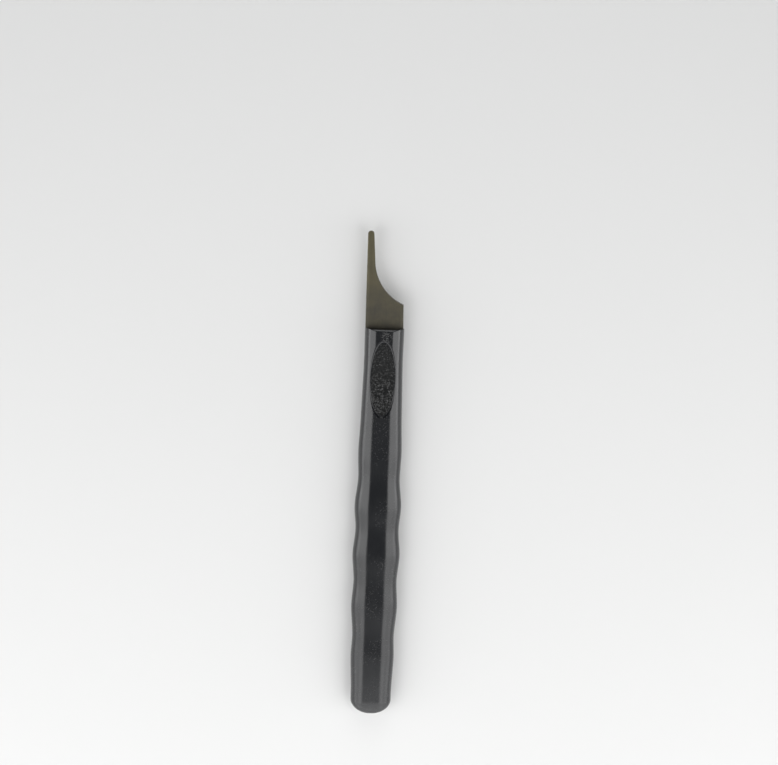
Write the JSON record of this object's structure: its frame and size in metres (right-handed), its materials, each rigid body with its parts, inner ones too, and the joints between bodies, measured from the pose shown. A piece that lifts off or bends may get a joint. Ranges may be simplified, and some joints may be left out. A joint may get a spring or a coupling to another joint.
{
  "type": "deburring tool",
  "caption": "Slim hand deburring tool: a hooked flat steel scraping blade whose tang is moulded into a black plastic handle with finger swells and oval thumb recesses.",
  "frame": {"origin": "in the plane that the tool rests on, under the handle's axis and half way along the tool", "axes": "+Y from the butt towards the blade's tip, +Z out of the front face, +X towards the hook's open side"},
  "size_m": [0.0144, 0.15, 0.008],
  "materials": {
    "blade_steel": "matt blackened, hardened plate",
    "handle_plastic": "semi-gloss black moulding, pebbled in the thumb recesses"
  },
  "bodies": {
    "root": {"blade": "blade_steel", "handle": "handle_plastic"}
  },
  "joints": []
}
